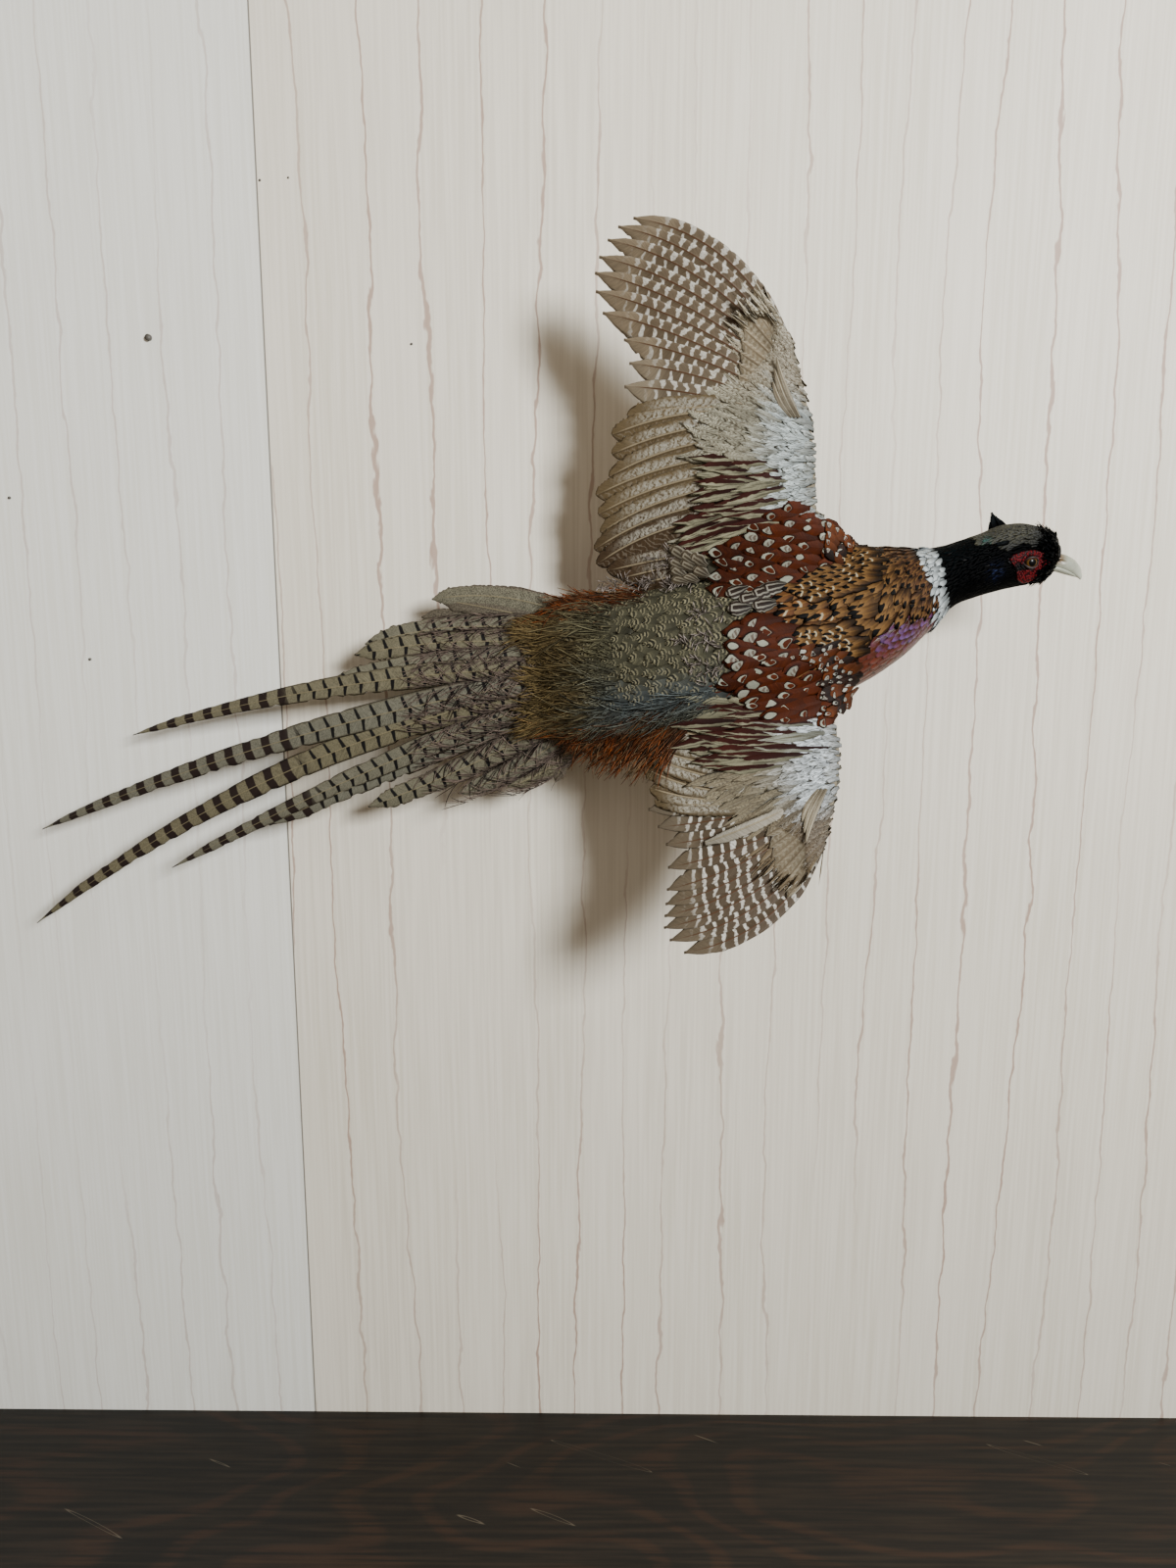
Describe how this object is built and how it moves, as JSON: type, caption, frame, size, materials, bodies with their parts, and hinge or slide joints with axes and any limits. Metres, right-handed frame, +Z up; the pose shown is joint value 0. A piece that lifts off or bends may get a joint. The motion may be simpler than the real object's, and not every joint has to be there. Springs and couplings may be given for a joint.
{
  "type": "taxidermy pheasant",
  "caption": "Life-size cock ring-necked pheasant mounted in flight, back outwards, wings and long barred tail spread, hung from a small wall plate and rod behind its belly.",
  "frame": {"origin": "middle of the back face of the wall plate, on the wall behind the bird's belly", "axes": "+Y into the wall, +X level along the wall towards the bill, +Z up"},
  "size_m": [0.8908, 0.2163, 0.5709],
  "materials": {
    "mantle_feathers": "satin, golden tan with black notches",
    "rump_feathers": "matt, hair-like olive and rust",
    "collar_feathers": "satin, tan and glossy purple maroon",
    "neck_feathers": "glossy blue-green black",
    "crown_feathers": "satin bronze olive",
    "belly_feathers": "satin dark chestnut",
    "wing_coverts": "matt bluish grey and cream",
    "flight_feathers": "matt tan with whitish bars",
    "tail_feathers": "satin olive buff with black bars",
    "wattle_skin": "matt red, pimpled",
    "bill_horn": "satin pale horn",
    "glass_eye": "polished amber with a black pupil",
    "leg_scale": "satin grey brown scales",
    "hanger_steel": "zinc plated"
  },
  "bodies": {
    "root": {"rump": "rump_feathers", "trunk": "mantle_feathers", "neck_lower": "collar_feathers", "neck_upper": "neck_feathers", "wall_plate": "hanger_steel", "wall_rod": "hanger_steel", "head": "crown_feathers", "eye_left": "glass_eye", "wattle_left": "wattle_skin", "eye_right": "glass_eye", "wattle_right": "wattle_skin", "bill_upper": "bill_horn", "bill_lower": "bill_horn", "ear_tuft_left": "neck_feathers", "ear_tuft_right": "neck_feathers", "wing_left_arm": "wing_coverts", "wing_left_hand": "wing_coverts", "wing_left_primary_01": "flight_feathers", "wing_left_primary_02": "flight_feathers", "wing_left_primary_03": "flight_feathers", "wing_left_primary_04": "flight_feathers", "wing_left_primary_05": "flight_feathers", "wing_left_primary_06": "flight_feathers", "wing_left_primary_07": "flight_feathers", "wing_left_primary_08": "flight_feathers", "wing_left_primary_09": "flight_feathers", "wing_left_primary_10": "flight_feathers", "wing_left_secondaries": "flight_feathers", "wing_left_alula": "flight_feathers", "wing_right_arm": "wing_coverts", "wing_right_hand": "wing_coverts", "wing_right_primary_01": "flight_feathers", "wing_right_primary_02": "flight_feathers", "wing_right_primary_03": "flight_feathers", "wing_right_primary_04": "flight_feathers", "wing_right_primary_05": "flight_feathers", "wing_right_primary_06": "flight_feathers", "wing_right_primary_07": "flight_feathers", "wing_right_primary_08": "flight_feathers", "wing_right_primary_09": "flight_feathers", "wing_right_primary_10": "flight_feathers", "wing_right_secondaries": "flight_feathers", "wing_right_alula": "flight_feathers", "tail_feather_01": "tail_feathers", "tail_feather_02": "tail_feathers", "tail_feather_03": "tail_feathers", "tail_feather_04": "tail_feathers", "tail_feather_05": "tail_feathers", "tail_feather_06": "tail_feathers", "tail_feather_07": "tail_feathers", "tail_feather_08": "tail_feathers", "tail_feather_09": "tail_feathers", "tail_feather_10": "tail_feathers", "tail_feather_11": "tail_feathers", "tail_feather_12": "tail_feathers", "thigh_left": "belly_feathers", "foot_left": "leg_scale", "thigh_right": "belly_feathers", "foot_right": "leg_scale"}
  },
  "joints": []
}
